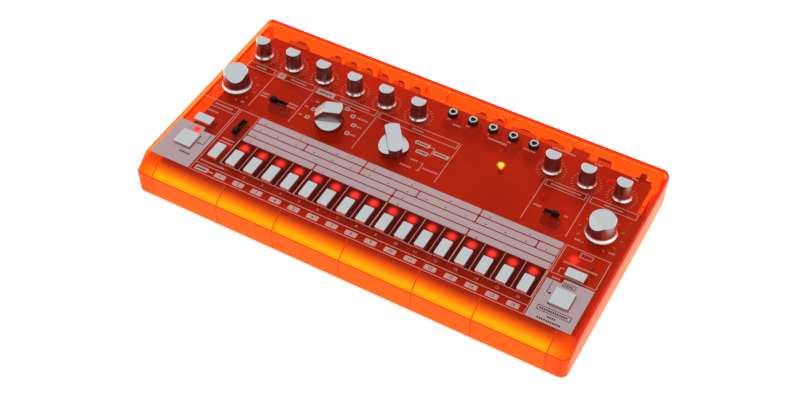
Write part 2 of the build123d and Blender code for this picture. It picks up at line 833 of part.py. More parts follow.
def top_jacks():
    """Upright sockets: a body on the board and a bushing with a notched end through the panel."""
    body_height = board_drop - wall - jack_body_gap
    bushing_length = board_drop + bushing_rise
    body = Box(jack_body_width, jack_body_depth, body_height, align=ON_TOP)
    body += Cylinder(bushing_radius, bushing_length, align=ON_TOP)
    cutters = [
        Cylinder(mini_bore_radius, bushing_length - mini_bore_floor, align=HANGING),
        Box(2 * nut_radius, notch_width, 2 * notch_depth),
        Box(notch_width, 2 * nut_radius, 2 * notch_depth),
    ]
    jack = body - [Pos(0, 0, bushing_length) * cutter for cutter in cutters]
    return [at(x, jack_back, board_top) * jack for x in jack_places()]


def top_jack_nuts():
    nut = Cylinder(nut_radius, nut_height, align=ON_TOP)
    nut = chamfer(nut.edges().group_by(Axis.Z)[-1], nut_edge)
    nut -= Cylinder(bushing_radius + nut_gap, 4 * nut_height)
    return [at(x, jack_back) * nut for x in jack_places()]


# ---- Connectors in the rear wall ----
def hung(height):
    """Drop of a connector's axis when its body hangs under the board."""
    return board_drop + board_thickness + height / 2


def rear_jack_drop():
    return hung(rear_jack_height)


def output_drop():
    return hung(output_height)


def din_drop():
    return hung(din_height)


def usb_drop():
    return hung(usb_height)


def inlet_drop():
    return hung(inlet_height)


def power_drop():
    return hung(lever_base_width + 2 * slide_gap + 2 * slide_wall)


def connector_body(width, height, length):
    """A body behind the rear wall, in the frame that faces out of it."""
    return Pos(0, 0, -wall - body_gap) * Box(width, height, length, align=HANGING)


def connector_nose(radius):
    length = wall + body_gap - nose_recess
    return Pos(0, 0, -wall - body_gap) * Cylinder(radius, length, align=ON_TOP)


def rear_mini_jacks():
    jack = connector_body(rear_jack_width, rear_jack_height, rear_jack_length)
    jack += connector_nose(nose_radius)
    jack -= Pos(0, 0, -nose_recess) * Cylinder(mini_bore_radius, mini_bore_depth, align=HANGING)
    return [facing_rear(rear_x(slot), rear_jack_drop()) * jack for slot in rear_jack_slots]


def output_jack():
    body = connector_body(output_width, output_height, output_length)
    bushing_length = wall + body_gap + output_bushing_rise
    bushing = Pos(0, 0, -wall - body_gap) * Cylinder(output_bushing_radius, bushing_length, align=ON_TOP)
    bore = Pos(0, 0, output_bushing_rise) * Cylinder(output_bore_radius, output_bore_depth, align=HANGING)
    return facing_rear(output_x, output_drop()) * (body + bushing - bore)


def output_jack_nut():
    hexagon = RegularPolygon(output_nut_width / 2, 6, major_radius=False)
    hexagon -= Circle(output_bushing_radius + nut_gap)
    return facing_rear(output_x, output_drop()) * extrude(hexagon, amount=output_nut_height)


def din_sockets():
    """Round five-way sockets: a groove for the plug's shell and holes on an arc for its pins."""
    body = connector_body(din_width, din_height, din_length) + connector_nose(din_nose_radius)
    ring = Circle(din_groove_outer) - Circle(din_groove_inner)
    cutters = [Pos(0, 0, -nose_recess) * extrude(ring, amount=-din_groove_depth)]
    for angle in din_pin_angles:
        place = Rot(Z=angle) * Pos(din_pin_circle, 0, -nose_recess)
        cutters.append(place * Cylinder(din_pin_radius, 2 * din_groove_depth))
    return [facing_rear(rear_x(slot), din_drop()) * (body - cutters) for slot in din_slots]


def usb_socket():
    """Square data socket with a tongue in the middle of its opening."""
    shell = Pos(0, 0, -nose_recess) * Box(usb_width, usb_height, usb_length, align=HANGING)
    outline = Rectangle(usb_cavity_width, usb_cavity_height)
    outline = chamfer(outline.vertices().group_by(Axis.Y)[0], usb_corner)
    cavity = Pos(0, 0, -nose_recess) * extrude(outline, amount=-usb_cavity_depth)
    tongue_length = usb_cavity_depth - pin_recess
    tongue = Box(usb_tongue_width, usb_tongue_height, tongue_length, align=ON_TOP)
    tongue = Pos(0, 0, -nose_recess - usb_cavity_depth) * tongue
    return facing_rear(rear_x(usb_slot), usb_drop()) * (shell - cavity + tongue)


def power_inlet():
    """Barrel socket for the mains adaptor, with its centre pin."""
    shell = Pos(0, 0, -nose_recess) * Box(inlet_width, inlet_height, inlet_length, align=HANGING)
    barrel = Pos(0, 0, -nose_recess) * Cylinder(inlet_radius, inlet_depth, align=HANGING)
    pin = Cylinder(inlet_pin_radius, inlet_depth - pin_recess, align=ON_TOP)
    pin = Pos(0, 0, -nose_recess - inlet_depth) * pin
    return facing_rear(rear_x(inlet_slot), inlet_drop()) * (shell - barrel + pin)


# ---- Every node ----
os.makedirs("parts", exist_ok=True)

write("top_case", [top_case()])
write("bottom_case", [bottom_case()])
write("case_screws", case_screws())
write("rubber_feet", rubber_feet())
write("main_circuit_board", [circuit_board()])
write("board_screws", board_screws())
write("board_chips", board_chips())
write("board_capacitors", board_capacitors())
write("pot_bodies", pot_bodies())
write("rotary_switch_bodies", rotary_switch_bodies())
write("tact_switches", tact_switches())
write("slide_switch_bodies", slide_switch_bodies())
write("red_lights", red_lights())
write("power_light", [light(power_light_x, power_light_back)])
write("top_jacks", top_jacks())
write("top_jack_nuts", top_jack_nuts())
write("rear_mini_jacks", rear_mini_jacks())
write("output_jack", [output_jack()])
write("output_jack_nut", [output_jack_nut()])
write("din_sockets", din_sockets())
write("usb_socket", [usb_socket()])
write("power_inlet", [power_inlet()])

for name, x, angle in small_knobs():
    place = at(x, small_knob_back)
    write(name, [place * small_knob(angle), place * shaft()])
for name, x, angle in large_knobs():
    place = at(x, large_knob_back)
    write(name, [place * large_knob(angle), place * shaft()])
for name, x, angle in selector_knobs():
    place = at(x, large_knob_back)
    write(name, [place * selector_knob(angle), place * shaft()])
for name, (x, back, width, depth) in button_places().items():
    write(name, [at(x, back) * button(width, depth)])
for name, (x, back, travel, turn) in panel_slides().items():
    write(name, [at(x, back) * Rot(Z=turn) * slide_lever(travel, lever_rise)])
lever = slide_lever(power_travel, power_lever_rise)
write("power_switch_lever", [facing_rear(power_x, power_drop()) * lever])
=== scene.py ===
"""Looks of the desktop drum machine: a tinted clear case over a dark board, satin silver knobs and
keys, pale printing on the panel and lit lamps under it. Lengths are millimetres, turned to metres
by MM where a mesh is made. On the panel, x runs to the right and v back along its surface."""

import json
import math

import bmesh
import bpy
from mathutils import Matrix, Vector


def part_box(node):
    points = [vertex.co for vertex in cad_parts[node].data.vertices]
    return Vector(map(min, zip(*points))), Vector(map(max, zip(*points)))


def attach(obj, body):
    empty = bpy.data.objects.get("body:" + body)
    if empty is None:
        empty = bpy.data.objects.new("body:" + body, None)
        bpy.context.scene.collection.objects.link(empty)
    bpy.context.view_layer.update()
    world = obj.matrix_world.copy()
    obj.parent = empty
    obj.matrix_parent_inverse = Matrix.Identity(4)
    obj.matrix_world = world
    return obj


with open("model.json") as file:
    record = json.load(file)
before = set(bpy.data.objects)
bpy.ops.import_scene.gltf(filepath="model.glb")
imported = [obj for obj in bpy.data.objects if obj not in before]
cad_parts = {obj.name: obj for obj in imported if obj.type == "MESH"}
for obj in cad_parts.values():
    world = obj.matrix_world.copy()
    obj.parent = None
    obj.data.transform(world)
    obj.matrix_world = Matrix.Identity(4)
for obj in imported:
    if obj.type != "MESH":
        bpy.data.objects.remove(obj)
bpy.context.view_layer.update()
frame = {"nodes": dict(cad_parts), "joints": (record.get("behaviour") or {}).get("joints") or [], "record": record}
nodes = frame["nodes"]

MM = 0.001
BODY = "case"

# ---- Camera ----
CAMERA_PLACE = (265.83, -561.59, 589.16)
CAMERA_TURN = (46.602, -3.503, 28.698)  # degrees
LENS_SHARE = 1.6115          # focal length as a share of the picture's width
SENSOR = 36.0
NEAR_CLIP = 10.0

# ---- Panel's frame ----
# The tempo knob turns on the panel's normal, straight in front of the accent knob.
hinges = {joint["name"]: joint for joint in frame["joints"] if joint["type"] == "hinge"}
TEMPO = Vector(hinges["tempo_turn"]["pos_m"]) / MM
ACCENT = Vector(hinges["accent_turn"]["pos_m"]) / MM
TEMPO_BACK = 78.7            # the tempo knob's place on the panel
NORMAL = Vector(hinges["tempo_turn"]["axis"]).normalized()
BACK = (ACCENT - TEMPO).normalized()
RIGHT = BACK.cross(NORMAL).normalized()
PANEL_ORIGIN = Vector((0, TEMPO.y, TEMPO.z)) - TEMPO_BACK * BACK
PANEL_TURN = Matrix((RIGHT, BACK, NORMAL)).transposed().to_4x4()
PANEL = Matrix.Translation(PANEL_ORIGIN) @ PANEL_TURN
TILT = math.atan2(BACK.z, BACK.y)
SMALL_BACK = TEMPO_BACK + (ACCENT - TEMPO).length

# ---- Case ----
CASE_REAR = 149.3            # outside of the rear wall
SLOPE_FRONT = -13.1          # foot of the front slope
CREASE_LEVEL = -9.4          # where the slope meets the tray
# Painted shade lines lie on the slope in front of these ribs.
RIB_X = (-140.2, -90.5, -48.5, 0.0, 50.5, 91.0, 140.2)
# Each pair below says where a tint starts and where it is full.
SLOPE_ENDS = (137.0, 147.0)  # the slope turns redder, out from the middle
SIDE_RIM = (150.8, 152.6)    # the side walls' rim, out from the middle
REAR_RIM = (146.8, 148.6)
RIM_FOOT = (-5.5, -4.0)
# The core's dark dye is painted shade under the board.
CORE_TOP = (-9.0, -9.6)      # the core: the bosses, and the floor under the board
CORE_FRONT = (3.0, 4.0)
CORE_REAR = (140.5, 140.0)
CORE_SIDE = (146.5, 146.0)

# ---- Printing ----
INK = 0.04                   # thickness of the printing
LIFT = 0.01                  # gap that keeps one layer of ink clear of the next
LINE = 0.4                   # width of a printed line
DASH = 0.95
DASH_GAP = 0.45
DASH_HEIGHT = 1.3
SCALE_START = 240.0          # a knob's lower stop and its turn, in degrees
SCALE_TURN = 300.0

# ---- Layout of the panel ----
STEP_COUNT = 16
STEP_BACK = 20.0             # middle of the step buttons and of the square ones
STEP_HOLE = (3.9, 6.9)       # half the width and depth of a step button's opening
SQUARE_HOLE = 6.7            # half of a square button's opening
CORNER_X = 134.0             # the square buttons
KEY_FRONT = 13.0             # the fields round the step buttons
KEY_BACK = 36.3
NUMBER_ROW = 9.6
TAG_ROW = 2.9
CHART_LEFT = -102.7          # the beat chart
CHART_RIGHT = 117.9
CHART_GAP = 0.9
COLUMN_FRONT = 65.8          # the columns of controls behind it, with a box at the head of each
HEAD_FRONT = 98.7
HEAD_ROW = 101.4
HEAD_BACK = 104.1
INSTRUMENT_TAGS = (          # square tags round the instrument selector
    (-76.5, 84.5), (-76.5, 76.2), (-45.8, 84.5), (-45.8, 76.2), (-50.2, 91.6), (-57.0, 95.8))
SLOTS = {                    # middle and half sizes of the slots of the slide switches
    "select_switch_lever": (-100.8, 78.7, 6.0, 1.6),
    "distortion_switch_lever": (100.6, 78.7, 4.5, 1.6),
    "mode_switch_lever": (-110.3, 46.1, 1.6, 6.5),
}
SLOT_DEPTH = 2.5
# The lamps' glow is painted on discs over them.
LAMP_BACK = 31.4             # windows over the step lamps
GROUP_LAMPS = [(-133.5, 30.7), (128.0, 51.3)]
POWER_LAMP = (55.1, 100.4)
LENS_LEVELS = (-6.0, -3.2)   # a lens shines from here, and fully from there
UNLIT_CORNER = (134.0, 45.0)  # the lamp to the right of this point and behind it is off

# A Mix node's colour sockets, which share their names with its other sockets.
MIX_FIRST = 6
MIX_SECOND = 7
MIX_RESULT = 2


def linear(code):
    """Linear colour of an sRGB hex value."""
    channels = [int(code[i:i + 2], 16) / 255 for i in (1, 3, 5)]
    return tuple(c / 12.92 if c <= 0.04045 else ((c + 0.055) / 1.055) ** 2.4 for c in channels) + (1.0,)


def node(tree, kind, inputs=None, stops=(), **settings):
    """Adds a shader node. An input takes a plain value, an output, or a node whose first output
    feeds it. Stops are a colour ramp's places and sRGB hex values."""
    made = tree.nodes.new("ShaderNode" + kind)
    for name, value in settings.items():
        setattr(made, name, value)
    for name, value in (inputs or {}).items():
        if isinstance(value, bpy.types.Node):
            value = value.outputs[0]
        if isinstance(value, bpy.types.NodeSocket):
            tree.links.new(value, made.inputs[name])
        else:
            made.inputs[name].default_value = value
    for i, (place, code) in enumerate(stops):
        elements = made.color_ramp.elements
        element = elements[i] if i < 2 else elements.new(place)
        element.position = place
        element.color = linear(code)
    return made


def new_material(name):
    """A material with an empty tree. Its coordinates are millimetres in the panel's frame: to the
    right, back along the panel, and above its surface. A pattern of scale s repeats about every
    1 / s millimetres."""
    made = bpy.data.materials.new(name)
    made.use_nodes = True
    tree = made.node_tree
    tree.nodes.clear()
    on_panel = node(tree, "Mapping", {
        "Vector": node(tree, "TexCoord").outputs["Object"],
        "Location": PANEL_ORIGIN * MM,
        "Rotation": (TILT, 0, 0),
        "Scale": (MM, MM, MM),
    }, vector_type="TEXTURE")
    return made, tree, on_panel.outputs["Vector"]


def rise(tree, place, axis, low, high, first=0.0, last=1.0, both_ways=False):
    """Goes from a first value to a last one between two places along one axis of the panel's frame,
    or between two distances from its middle, both ways."""
    along = node(tree, "SeparateXYZ", {"Vector": place}).outputs[axis]
    if both_ways:
        along = node(tree, "Math", {0: along}, operation="ABSOLUTE")
    return node(tree, "MapRange", {
        "Value": along, "From Min": low, "From Max": high, "To Min": first, "To Max": last})


def joined(tree, operation, *shares):
    """Joins shares in turn: MULTIPLY keeps where all of them hold, MAXIMUM where any does."""
    total = shares[0]
    for share in shares[1:]:
        total = node(tree, "Math", {0: total, 1: share}, operation=operation)
    return total


def near_any(tree, place, axis, values, reach):
    """Is 1 within a reach of any of some values along one axis of the panel's frame."""
    along = node(tree, "SeparateXYZ", {"Vector": place}).outputs[axis]
    near = [node(tree, "Math", {0: along, 1: value, 2: reach}, operation="COMPARE") for value in values]
    return joined(tree, "MAXIMUM", *near)


# ---- Materials ----
def dye_colour(tree, place, axis, low, high, first, last):
    """Colour that the dyed plastic gives to what lies behind it. It changes along one axis, is deeper
    at the rim and where a wall is seen along its length, and darkest in the core, which is painted
    shade under the board."""
    tone = node(tree, "Mix", {
        0: rise(tree, place, axis, low, high), MIX_FIRST: linear(first), MIX_SECOND: linear(last),
    }, data_type="RGBA")
    sides = joined(tree, "MAXIMUM", rise(tree, place, "X", *SIDE_RIM, both_ways=True),
                   rise(tree, place, "Y", *REAR_RIM))
    rim = joined(tree, "MULTIPLY", sides, rise(tree, place, "Z", *RIM_FOOT))
    edge_on = node(tree, "LayerWeight", {"Blend": 0.1}).outputs["Facing"]
    tinted = node(tree, "Mix", {
        0: joined(tree, "MAXIMUM", rim, edge_on),
        MIX_FIRST: tone.outputs[MIX_RESULT], MIX_SECOND: linear("#E63A10"),
    }, data_type="RGBA")
    # Painted shade: the dye turns dark under the board.
    core_shade = joined(
        tree, "MULTIPLY", rise(tree, place, "Z", *CORE_TOP), rise(tree, place, "Y", *CORE_FRONT),
        rise(tree, place, "Y", *CORE_REAR), rise(tree, place, "X", *CORE_SIDE, both_ways=True))
    core_shaded = node(tree, "Mix", {
        0: core_shade, MIX_FIRST: tinted.outputs[MIX_RESULT], MIX_SECOND: linear("#A03018"),
    }, data_type="RGBA")
    return core_shaded.outputs[MIX_RESULT]


def haze_colour(tree, place, painted_light_bands):
    """Colour of hazy plastic, with light and shade painted into it: bands of painted light up the
    slope, redder at its two ends, lines of painted shade where ribs stand behind it and where it meets
    the tray, and slow changes as the melt flowed."""
    # Painted light: the colour goes in bands up the slope.
    painted_light_band = node(tree, "ValToRGB", {"Fac": rise(tree, place, "Y", SLOPE_FRONT, 0.0)}, stops=painted_light_bands)
    ends = rise(tree, place, "X", *SLOPE_ENDS, last=0.75, both_ways=True)
    slope = node(tree, "Mix", {0: ends, MIX_FIRST: painted_light_band, MIX_SECOND: linear("#E8480C")}, data_type="RGBA")
    # Painted shade: red lines where the ribs stand behind the slope and along the crease with the tray.
    rib_shade = near_any(tree, place, "X", RIB_X, 0.4)
    crease_shade = near_any(tree, place, "Z", [CREASE_LEVEL], 0.35)
    lines = joined(tree, "MULTIPLY", joined(tree, "MAXIMUM", rib_shade, crease_shade),
                   rise(tree, place, "Y", -0.5, -1.5))
    shade_lined = node(tree, "Mix", {
        0: lines, MIX_FIRST: slope.outputs[MIX_RESULT], MIX_SECOND: linear("#D43C08"),
    }, data_type="RGBA")
    flow = node(tree, "TexNoise", {"Vector": place, "Scale": 0.03, "Detail": 2.0})
    level = node(tree, "MapRange", {"Value": flow.outputs["Fac"], "To Min": 0.88, "To Max": 1.1})
    return node(tree, "HueSaturation", {"Color": shade_lined.outputs[MIX_RESULT], "Value": level})


def dyed_polycarbonate(name, dye, haze, painted_light_bands):
    """Clear dyed polycarbonate, moulded and polished: what lies behind shows through in the dye's
    colour, light scatters in it where it is hazy, there it also glows with painted light of its own,
    and the surface is glossy."""
    made, tree, place = new_material(name)
    clear = node(tree, "BsdfTransparent", {"Color": dye_colour(tree, place, *dye)})
    painted_light_cloud = haze_colour(tree, place, painted_light_bands)
    returned = node(tree, "BsdfDiffuse", {"Color": painted_light_cloud})
    passed = node(tree, "BsdfTranslucent", {"Color": painted_light_cloud})
    scattered = node(tree, "MixShader", {0: 0.25, 1: returned, 2: passed})
    # Painted glow: the hazy plastic gives off light of its own, though it is no lamp.
    glow_painted_in = node(tree, "Emission", {"Color": painted_light_cloud, "Strength": 0.62})
    haze_and_painted_glow = node(tree, "AddShader", {0: scattered, 1: glow_painted_in})
    hazy = rise(tree, place, "Y", *haze)
    plastic = node(tree, "MixShader", {0: hazy, 1: clear, 2: haze_and_painted_glow})
    polish = node(tree, "BsdfAnisotropic", {"Color": linear("#FFD0B4"), "Roughness": 0.12})
    inside = node(tree, "NewGeometry").outputs["Backfacing"]
    outside = node(tree, "Math", {0: 1.0, 1: inside}, operation="SUBTRACT")
    gloss = joined(tree, "MULTIPLY", node(tree, "Fresnel", {"IOR": 1.25}), outside)
    surface = node(tree, "MixShader", {0: gloss, 1: plastic, 2: polish})
    node(tree, "OutputMaterial", {"Surface": surface})
    return made


def solder_mask():
    """Fibreglass board under lacquer: brown, with the copper tracks a little lighter and the lacquer
    uneven over the board."""
    made, tree, place = new_material("solder_mask_board")
    tracks = node(tree, "TexBrick", {
        "Vector": place, "Scale": 0.12, "Mortar Size": 0.02, "Brick Width": 1.4, "Row Height": 0.4,
        "Color1": linear("#B44E36"), "Color2": linear("#A84832"), "Mortar": linear("#BC563C"),
    })
    shade = node(tree, "TexNoise", {"Vector": place, "Scale": 0.018, "Detail": 1.0})
    level = node(tree, "MapRange", {
        "Value": shade.outputs["Fac"], "From Min": 0.3, "From Max": 0.7, "To Min": 0.62, "To Max": 0.98})
    colour = node(tree, "HueSaturation", {"Color": tracks.outputs["Color"], "Value": level})
    skin = node(tree, "BsdfPrincipled", {"Base Color": colour, "Roughness": 0.5})
    node(tree, "OutputMaterial", {"Surface": skin})
    return made


def satin_silver(name, roughness, low, foot, shaded_sides=False):
    """ABS with satin silver lacquer above a level: metal flake that reflects softly and takes the
    panel's red. Below that level a plain colour is painted: painted shade where the keys sink into
    their openings and at the knobs' feet, and a red band at the jacks' feet. A knob's upright sides
    are painted darker: painted shade."""
    made, tree, place = new_material(name)
    flake = node(tree, "TexNoise", {"Vector": place, "Scale": 3.0, "Detail": 3.0}).outputs["Fac"]
    colour = node(tree, "ValToRGB", {"Fac": flake}, stops=[(0.3, "#E2E6E6"), (0.7, "#EEF2F2")])
    # Painted shade: a knob's upright sides are painted darker and mauve.
    if shaded_sides:
        outward = node(tree, "NewGeometry").outputs["Normal"]
        up = node(tree, "VectorMath", {0: outward, 1: NORMAL}, operation="DOT_PRODUCT").outputs["Value"]
        side = node(tree, "MapRange", {"Value": up, "From Min": 0.35, "From Max": 0.1})
        side_shaded = node(tree, "Mix", {
            0: side, MIX_FIRST: colour, MIX_SECOND: linear("#8E8488")}, data_type="RGBA")
        colour = side_shaded.outputs[MIX_RESULT]
    bump = node(tree, "Bump", {"Height": flake, "Strength": 0.05, "Distance": 0.02 * MM})
    lacquer = node(tree, "BsdfPrincipled", {
        "Base Color": colour, "Metallic": 1.0, "Roughness": roughness, "Normal": bump})
    # Painted shade below the level: dark on the keys and knobs, red on the jacks.
    painted_foot_tone = node(tree, "BsdfPrincipled", {"Base Color": linear(low), "Roughness": 0.5})
    above = rise(tree, place, "Z", foot - 0.1, foot)
    surface = node(tree, "MixShader", {0: above, 1: painted_foot_tone, 2: lacquer})
    node(tree, "OutputMaterial", {"Surface": surface})
    return made


def moulded_plastic(name, dark, light, roughness):
    """Injection-moulded plastic with a spark-eroded grain. The grain is coarser than the real one, so
    that it shows."""
    made, tree, place = new_material(name)
    grain = node(tree, "TexNoise", {"Vector": place, "Scale": 1.25, "Detail": 3.0}).outputs["Fac"]
    colour = node(tree, "ValToRGB", {"Fac": grain}, stops=[(0.35, dark), (0.65, light)])
    bump = node(tree, "Bump", {"Height": grain, "Strength": 0.15, "Distance": 0.03 * MM})
    skin = node(tree, "BsdfPrincipled", {
        "Base Color": colour, "Roughness": roughness, "Specular IOR Level": 0.2, "Normal": bump})
    node(tree, "OutputMaterial", {"Surface": skin})
    return made


def socket_nylon():
    """Rear sockets: black at the mouth, and natural nylon, which is pale and waxy, inside the case."""
    made, tree, place = new_material("socket_nylon")
    grain = node(tree, "TexNoise", {"Vector": place, "Scale": 1.2, "Detail": 3.0}).outputs["Fac"]
    mouth = node(tree, "ValToRGB", {"Fac": grain}, stops=[(0.35, "#121214"), (0.65, "#1C1C1F")])
    body = node(tree, "ValToRGB", {"Fac": grain}, stops=[(0.35, "#E8D8B8"), (0.65, "#F2E4C8")])
    at_mouth = rise(tree, place, "Y", CASE_REAR - 2.9, CASE_REAR - 2.7)
    colour = node(tree, "Mix", {0: at_mouth, MIX_FIRST: body, MIX_SECOND: mouth}, data_type="RGBA")
    skin = node(tree, "BsdfPrincipled", {"Base Color": colour.outputs[MIX_RESULT], "Roughness": 0.4})
    node(tree, "OutputMaterial", {"Surface": skin})
    return made


def plated_steel():
    """Stamped steel with a dull nickel plate, slightly stained."""
    made, tree, place = new_material("nickel_plated_steel")
    stain = node(tree, "TexNoise", {"Vector": place, "Scale": 0.4, "Detail": 4.0}).outputs["Fac"]
    colour = node(tree, "ValToRGB", {"Fac": stain}, stops=[(0.3, "#A8A6A0"), (0.7, "#C4C2BC")])
    skin = node(tree, "BsdfPrincipled", {"Base Color": colour, "Metallic": 1.0, "Roughness": 0.35})
    node(tree, "OutputMaterial", {"Surface": skin})
    return made


def screen_ink(name, code, cover):
    """Screen-printed ink, a thin matt film with fine specks through which the panel shows a little."""
    made, tree, place = new_material(name)
    speck = node(tree, "TexNoise", {"Vector": place, "Scale": 2.0, "Detail": 2.0})
    value = node(tree, "MapRange", {"Value": speck.outputs["Fac"], "To Min": 0.96, "To Max": 1.04})
    shade = node(tree, "HueSaturation", {"Color": linear(code), "Value": value})
    matt = node(tree, "BsdfPrincipled", {
        "Base Color": shade, "Roughness": 0.6, "Specular IOR Level": 0.15})
    surface = node(tree, "MixShader", {0: cover, 1: node(tree, "BsdfTransparent"), 2: matt})
    node(tree, "OutputMaterial", {"Surface": surface})
    return made


def lamp_lens(name, code, strength):
    """Epoxy lens with a glossy skin, lit at its tip. The second group's lamp is off."""
    made, tree, place = new_material(name)
    tip = rise(tree, place, "Z", *LENS_LEVELS)
    right, behind = UNLIT_CORNER
    unlit = joined(tree, "MULTIPLY", rise(tree, place, "X", right, right + 0.1),
                   rise(tree, place, "Y", behind, behind + 0.1))
    lit = node(tree, "Math", {0: 1.0, 1: unlit}, operation="SUBTRACT")
    skin = node(tree, "BsdfPrincipled", {"Base Color": linear("#5A1410"), "Roughness": 0.15})
    shine = node(tree, "Emission", {"Color": linear(code), "Strength": strength})
    surface = node(tree, "MixShader", {0: joined(tree, "MULTIPLY", tip, lit), 1: skin, 2: shine})
    node(tree, "OutputMaterial", {"Surface": surface})
    return made


def lit_film(name, code, strength):
    """Painted glow of a lamp under the panel: a film that shines brightest in the middle and is clear at its edge.
    """
    made, tree, _ = new_material(name)
    glow = node(tree, "Attribute", attribute_name="glow").outputs["Fac"]
    fade = node(tree, "Math", {0: glow, 1: 3.0}, operation="POWER")
    shine = node(tree, "Emission", {"Color": linear(code), "Strength": strength})
    surface = node(tree, "MixShader", {0: fade, 1: node(tree, "BsdfTransparent"), 2: shine})
    node(tree, "OutputMaterial", {"Surface": surface})
    return made


# The bands are painted light up the slope: bright at its foot, and on the top case dark red higher up, where the
# board shades it.
top_plastic = dyed_polycarbonate(
    "dyed_polycarbonate_top",
    dye=("Y", -2.0, 2.0, "#FFEA70", "#FFCC78"),
    haze=(-1.0, 0.5, 0.72, 0.1),
    painted_light_bands=[(0.0, "#FFB400"), (0.28, "#FFAA00"), (0.55, "#E86408"),
           (0.8, "#A82A0E"), (0.95, "#8E1C0C"), (1.0, "#E8300C")])
tray_plastic = dyed_polycarbonate(
    "dyed_polycarbonate_tray",
    dye=("Z", -24.2, -23.8, "#FFBC54", "#FFC04A"),
    haze=(-9.5, -9.0, 0.7, 0.14),
    painted_light_bands=[(0.0, "#FF6E08"), (0.2, "#FF6E08"), (0.6, "#FF9A10"), (1.0, "#FF9A10")])
board_skin = solder_mask()
knob_silver = satin_silver("silver_knob_lacquer", 0.26, "#141414", 0.2, shaded_sides=True)
key_silver = satin_silver("silver_key_lacquer", 0.36, "#1A0806", -0.4)
jack_silver = satin_silver("nickel_jack_bushing", 0.2, "#A03A28", 1.0)
black_plastic = moulded_plastic("black_moulded_abs", "#121214", "#1C1C1F", 0.35)
brown_plastic = moulded_plastic("brown_phenolic", "#3A1610", "#481C14", 0.5)
rubber = moulded_plastic("black_rubber", "#141414", "#202020", 0.8)
steel = plated_steel()
nylon = socket_nylon()
red_lamp = lamp_lens("red_epoxy_lens", "#FF2A20", 1.6)
yellow_lamp = lamp_lens("yellow_epoxy_lens", "#FFD84A", 2.5)
red_painted_glow = lit_film("red_lamp_glow_film", "#FF3428", 1.7)
yellow_painted_glow = lit_film("yellow_lamp_glow_film", "#FFD84A", 3.0)
line_ink = screen_ink("pale_line_ink", "#E8A498", 0.75)
legend_ink = screen_ink("pale_legend_ink", "#E09C90", 0.6)
field_ink = screen_ink("grey_field_ink", "#BEA6A8", 0.93)
tag_ink = screen_ink("pale_tag_ink", "#D0A498", 0.85)
dark_ink = screen_ink("dark_ink", "#4A2020", 0.8)
# Painted shade inks: round the step buttons, and at the slots.
painted_key_shade_ink = screen_ink("painted_key_shade_ink", "#3A0A06", 0.5)
slot_shade_ink = screen_ink("slot_shade_ink", "#0C0808", 0.95)

FINISHES = {                 # by material slot
    "tinted_case": top_plastic, "circuit_board": board_skin, "steel": steel, "rubber": rubber,
    "dark_plastic": black_plastic, "knob_plastic": knob_silver, "button_plastic": key_silver,
    "light_red": red_lamp, "light_yellow": yellow_lamp, "connector_metal": steel,
}
SPECIAL_FINISHES = {         # by node
    "bottom_case": tray_plastic, "top_jacks": jack_silver, "rear_mini_jacks": nylon, "output_jack": nylon,
    "din_sockets": nylon, "slide_switch_bodies": brown_plastic, "power_inlet": nylon,
}
for part in frame["record"]["subparts"]:
    finish = SPECIAL_FINISHES.get(part["node"], FINISHES[part["material_slot"]])
    for slot in nodes[part["node"]].material_slots:
        slot.material = finish


# ---- Meshes ----
def film(name, shape, material, layer=0, thickness=INK, height=None, body=BODY):
    """Makes an object of flat faces drawn in millimetres on the panel: a film that rides on a body, in
    a layer of the printing or at a height over the panel."""
    raised = bmesh.ops.extrude_face_region(shape, geom=shape.faces[:])["geom"]
    lifted = [item for item in raised if isinstance(item, bmesh.types.BMVert)]
    bmesh.ops.translate(shape, vec=(0, 0, thickness), verts=lifted)
    base = LIFT + layer * (INK + LIFT) if height is None else height
    bmesh.ops.translate(shape, vec=(0, 0, base), verts=shape.verts)
    bmesh.ops.recalc_face_normals(shape, faces=shape.faces)
    shape.transform(Matrix.Scale(MM, 4) @ PANEL)
    mesh = bpy.data.meshes.new(name)
    shape.to_mesh(mesh)
    shape.free()
    mesh.materials.append(material)
    made = bpy.data.objects.new(name, mesh)
    bpy.context.scene.collection.objects.link(made)
    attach(made, body)


def add_field(shape, left, right, front, back, corner=0.0, turn=0.0, about=(0, 0)):
    """A flat field between four sides, with rounded corners, turned about a point in degrees."""
    size = Matrix.Diagonal((right - left, back - front, 1, 1))
    middle = Matrix.Translation(((left + right) / 2, (front + back) / 2, 0))
    pivot = Matrix.Translation((about[0], about[1], 0))
    spin = pivot @ Matrix.Rotation(math.radians(turn), 4, "Z")
    made = bmesh.ops.create_grid(shape, x_segments=1, y_segments=1, size=0.5, matrix=spin @ middle @ size)
    if corner:
        bmesh.ops.bevel(shape, geom=made["verts"], offset=corner, segments=4, profile=0.5,
                        affect="VERTICES", material=-1)


def add_line(shape, x0, v0, x1, v1, width=LINE):
    """A straight line from one point to another."""
    length = math.hypot(x1 - x0, v1 - v0)
    turn = math.degrees(math.atan2(v1 - v0, x1 - x0))
    add_field(shape, 0, length, -width / 2, width / 2, turn=turn, about=(x0, v0))


def add_frame(shape, left, right, front, back):
    """An outlined box."""
    add_field(shape, left, right, front, front + LINE)
    add_field(shape, left, right, back - LINE, back)
    add_field(shape, left, left + LINE, front + LINE, back - LINE)
    add_field(shape, right - LINE, right, front + LINE, back - LINE)


def add_around(shape, left, right, front, back, hole):
    """A field with a rectangular window in it, which may be open in front."""
    hole_left, hole_right, hole_front, hole_back = hole
    add_field(shape, left, hole_left, front, back)
    add_field(shape, hole_right, right, front, back)
    if hole_front > front:
        add_field(shape, hole_left, hole_right, front, hole_front)
    add_field(shape, hole_left, hole_right, hole_back, back)


